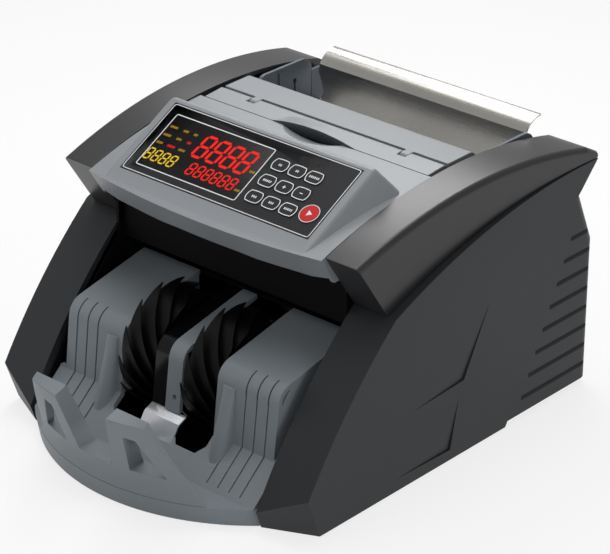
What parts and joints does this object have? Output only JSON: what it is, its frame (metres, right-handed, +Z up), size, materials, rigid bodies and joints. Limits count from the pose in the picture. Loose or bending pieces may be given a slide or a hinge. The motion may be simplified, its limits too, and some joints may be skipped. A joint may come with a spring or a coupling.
{
  "type": "banknote counting machine",
  "caption": "Desktop banknote counter with a top feed hopper, sloped key and display panel, driven rollers and a front stacker tray with vaned wheels and a leaning stop.",
  "frame": {"origin": "middle of the footprint on the table, half way between the side covers", "axes": "+X to the right seen from the front, +Y to the back, +Z up"},
  "size_m": [0.26, 0.3335, 0.1922],
  "materials": {
    "charcoal_plastic": "fine moulded texture",
    "dark_satin_plastic": "satin",
    "light_grey_plastic": "satin, fine texture",
    "mid_grey_plastic": "matte moulded",
    "black_plastic": "matte",
    "dark_glass_plastic": "gloss",
    "overlay_film": "fine matte film",
    "red_plastic": "satin",
    "blue_grey_steel": "painted satin",
    "stainless": "brushed",
    "bright_plate": "bright",
    "zinc_steel": "zinc plated",
    "shaft_steel": "ground",
    "bronze": "sintered",
    "alloy_pulley": "turned",
    "roller_rubber": "matte",
    "belt_rubber": "matte",
    "circuit_board": "solder mask"
  },
  "bodies": {
    "chassis": {"left_side_cover": "charcoal_plastic", "right_side_cover": "charcoal_plastic", "rear_cover": "charcoal_plastic", "left_shoulder_cover": "dark_satin_plastic", "right_shoulder_cover": "dark_satin_plastic", "control_housing": "light_grey_plastic", "hopper_front_guide": "light_grey_plastic", "stacker_tray": "mid_grey_plastic", "stacker_stop": "mid_grey_plastic", "centre_guide": "mid_grey_plastic", "upper_guide": "black_plastic", "lower_guide": "black_plastic", "feed_deck": "black_plastic", "power_entry": "black_plastic", "base_pan": "black_plastic", "sensor_window": "dark_glass_plastic", "display_window": "dark_glass_plastic", "membrane_overlay": "overlay_film", "left_hopper_wall": "blue_grey_steel", "right_hopper_wall": "blue_grey_steel", "hopper_back_plate": "stainless", "reflector_plate": "bright_plate", "left_side_frame": "zinc_steel", "right_side_frame": "zinc_steel", "tie_rods": "zinc_steel", "lid_hinge_pin": "zinc_steel", "transformer": "zinc_steel", "main_motor": "zinc_steel", "shaft_bearings": "bronze", "retard_block": "roller_rubber", "drive_belt": "belt_rubber", "pickup_belt": "belt_rubber", "stacker_belt": "belt_rubber", "rubber_feet": "belt_rubber", "main_board": "circuit_board", "key_board": "circuit_board"},
    "pickup": {"pickup_shaft": "shaft_steel", "pickup_rollers": "roller_rubber"},
    "feed": {"feed_shaft": "shaft_steel", "feed_rollers": "roller_rubber"},
    "transport": {"transport_shaft": "shaft_steel", "transport_rollers": "roller_rubber"},
    "pinch": {"pinch_rollers": "shaft_steel"},
    "stacker": {"stacker_shaft": "shaft_steel", "left_stacker_wheel": "black_plastic", "right_stacker_wheel": "black_plastic"},
    "motor_rotor": {"motor_pulley": "alloy_pulley"},
    "lid": {"lid": "light_grey_plastic"},
    "key_low_left_cap": {"key_low_left": "overlay_film"},
    "key_low_centre_cap": {"key_low_centre": "overlay_film"},
    "key_low_right_cap": {"key_low_right": "overlay_film"},
    "key_middle_left_cap": {"key_middle_left": "overlay_film"},
    "key_middle_centre_cap": {"key_middle_centre": "overlay_film"},
    "key_middle_right_cap": {"key_middle_right": "overlay_film"},
    "key_top_left_cap": {"key_top_left": "overlay_film"},
    "key_top_centre_cap": {"key_top_centre": "overlay_film"},
    "key_top_right_cap": {"key_top_right": "overlay_film"},
    "start_key_cap": {"start_key": "red_plastic"},
    "rocker": {"power_rocker": "black_plastic"}
  },
  "joints": [
    {"name": "pickup_spin", "type": "hinge", "parent": "chassis", "child": "pickup", "pos_m": [0, 0.1, 0.1295], "axis": [1, 0, 0], "continuous": true},
    {"name": "feed_spin", "type": "hinge", "parent": "chassis", "child": "feed", "pos_m": [0, 0.066, 0.124], "axis": [1, 0, 0], "continuous": true},
    {"name": "transport_spin", "type": "hinge", "parent": "chassis", "child": "transport", "pos_m": [0, 0.0162, 0.0956], "axis": [1, 0, 0], "continuous": true},
    {"name": "pinch_spin", "type": "hinge", "parent": "chassis", "child": "pinch", "pos_m": [0, 0.00823, 0.1176], "axis": [1, 0, 0], "continuous": true},
    {"name": "stacker_spin", "type": "hinge", "parent": "chassis", "child": "stacker", "pos_m": [0, -0.0615, 0.056], "axis": [1, 0, 0], "continuous": true},
    {"name": "motor_rotor_spin", "type": "hinge", "parent": "chassis", "child": "motor_rotor", "pos_m": [0, 0.036, 0.042], "axis": [1, 0, 0], "continuous": true},
    {"name": "lid_hinge", "type": "hinge", "parent": "chassis", "child": "lid", "pos_m": [0, 0.0491, 0.1763], "axis": [-1, 0, 0], "range_deg": [0, 90]},
    {"name": "key_low_left_press", "type": "slide", "parent": "chassis", "child": "key_low_left_cap", "axis": [0, 0.4802, -0.8771], "range_m": [0, 0.0005], "stiffness_N_per_m": 600, "springref_m": -0.0005},
    {"name": "key_low_centre_press", "type": "slide", "parent": "chassis", "child": "key_low_centre_cap", "axis": [0, 0.4802, -0.8771], "range_m": [0, 0.0005], "stiffness_N_per_m": 600, "springref_m": -0.0005},
    {"name": "key_low_right_press", "type": "slide", "parent": "chassis", "child": "key_low_right_cap", "axis": [0, 0.4802, -0.8771], "range_m": [0, 0.0005], "stiffness_N_per_m": 600, "springref_m": -0.0005},
    {"name": "key_middle_left_press", "type": "slide", "parent": "chassis", "child": "key_middle_left_cap", "axis": [0, 0.4802, -0.8771], "range_m": [0, 0.0005], "stiffness_N_per_m": 600, "springref_m": -0.0005},
    {"name": "key_middle_centre_press", "type": "slide", "parent": "chassis", "child": "key_middle_centre_cap", "axis": [0, 0.4802, -0.8771], "range_m": [0, 0.0005], "stiffness_N_per_m": 600, "springref_m": -0.0005},
    {"name": "key_middle_right_press", "type": "slide", "parent": "chassis", "child": "key_middle_right_cap", "axis": [0, 0.4802, -0.8771], "range_m": [0, 0.0005], "stiffness_N_per_m": 600, "springref_m": -0.0005},
    {"name": "key_top_left_press", "type": "slide", "parent": "chassis", "child": "key_top_left_cap", "axis": [0, 0.4802, -0.8771], "range_m": [0, 0.0005], "stiffness_N_per_m": 600, "springref_m": -0.0005},
    {"name": "key_top_centre_press", "type": "slide", "parent": "chassis", "child": "key_top_centre_cap", "axis": [0, 0.4802, -0.8771], "range_m": [0, 0.0005], "stiffness_N_per_m": 600, "springref_m": -0.0005},
    {"name": "key_top_right_press", "type": "slide", "parent": "chassis", "child": "key_top_right_cap", "axis": [0, 0.4802, -0.8771], "range_m": [0, 0.0005], "stiffness_N_per_m": 600, "springref_m": -0.0005},
    {"name": "start_key_press", "type": "slide", "parent": "chassis", "child": "start_key_cap", "axis": [0, 0.4802, -0.8771], "range_m": [0, 0.0005], "stiffness_N_per_m": 600, "springref_m": -0.0005},
    {"name": "power_rocker_tilt", "type": "hinge", "parent": "chassis", "child": "rocker", "pos_m": [-0.078, 0.156, 0.072], "axis": [-1, 0, 0], "range_deg": [0, 20]}
  ],
  "couplings": [
    {"joint": "pickup_spin", "follows": "feed_spin", "ratio": 0.94828},
    {"joint": "transport_spin", "follows": "feed_spin", "ratio": 1.6364},
    {"joint": "pinch_spin", "follows": "feed_spin", "ratio": -2.5455},
    {"joint": "stacker_spin", "follows": "feed_spin", "ratio": 0.65455},
    {"joint": "motor_rotor_spin", "follows": "feed_spin", "ratio": 1.8}
  ]
}
